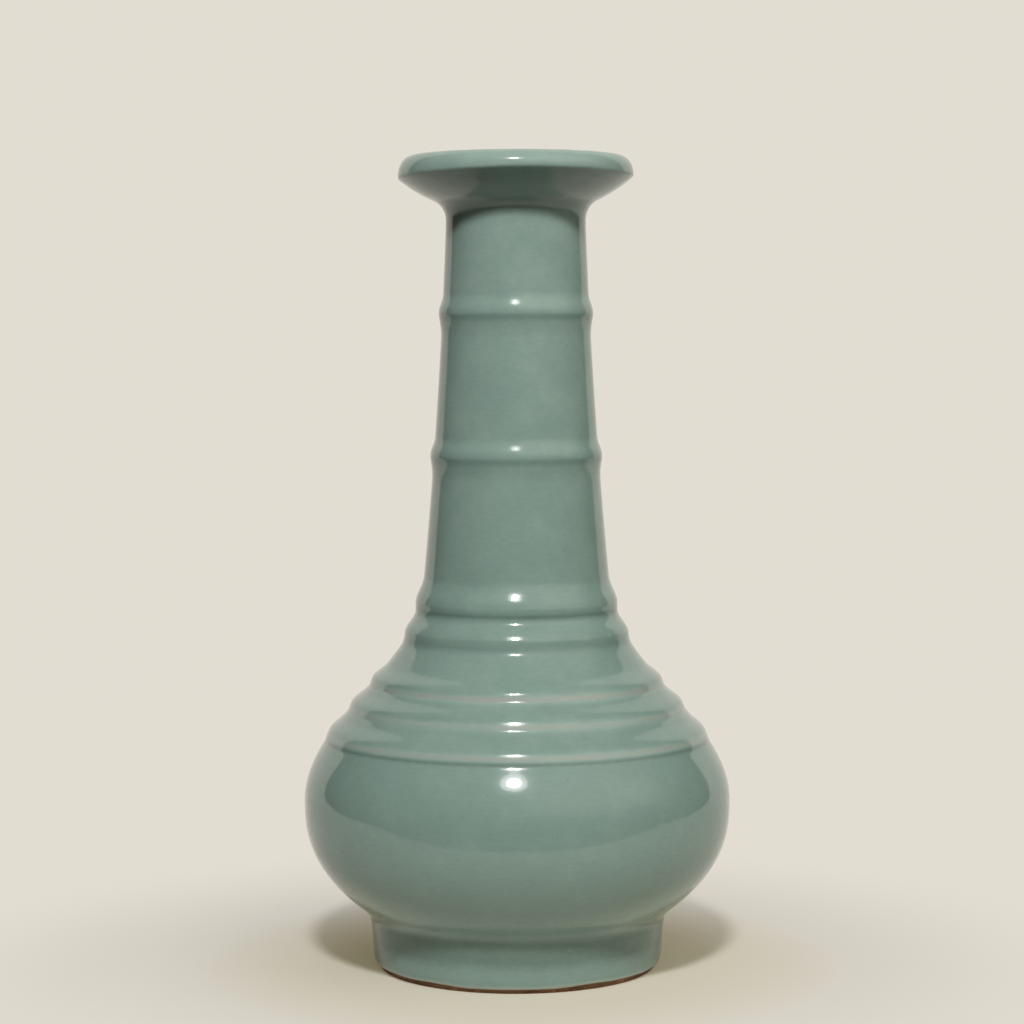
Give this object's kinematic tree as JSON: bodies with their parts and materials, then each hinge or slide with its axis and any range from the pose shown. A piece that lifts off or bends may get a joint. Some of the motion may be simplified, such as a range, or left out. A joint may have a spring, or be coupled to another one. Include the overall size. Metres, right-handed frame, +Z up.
{
  "type": "dish-mouth vase",
  "caption": "Celadon-glazed stoneware flower vase with a ring foot, round belly, ribbed shoulder, long neck with raised nodes and a shallow dish mouth.",
  "frame": {"origin": "on the table at the centre of the foot", "axes": "+Z up along the axis of the vase, from the foot to the mouth; the vase is round, so X and Y are free"},
  "size_m": [0.1376, 0.1376, 0.2611],
  "materials": {
    "stoneware": "bare fired stoneware, reddish brown, matt and slightly sandy",
    "slip": "fired slip of the same clay, hidden in the joins",
    "celadon_glaze": "thick glossy grey-green celadon glaze, paler where it runs thin over the ribs and the lip"
  },
  "bodies": {
    "root": {"foot_ring": "stoneware", "foot_lute": "slip", "lower_body": "stoneware", "belly_lute": "slip", "upper_body": "stoneware", "neck_lute": "slip", "neck": "stoneware", "mouth_lute": "slip", "dish_mouth": "stoneware", "outer_glaze": "celadon_glaze", "inner_glaze": "celadon_glaze", "base_glaze": "celadon_glaze"}
  },
  "joints": []
}
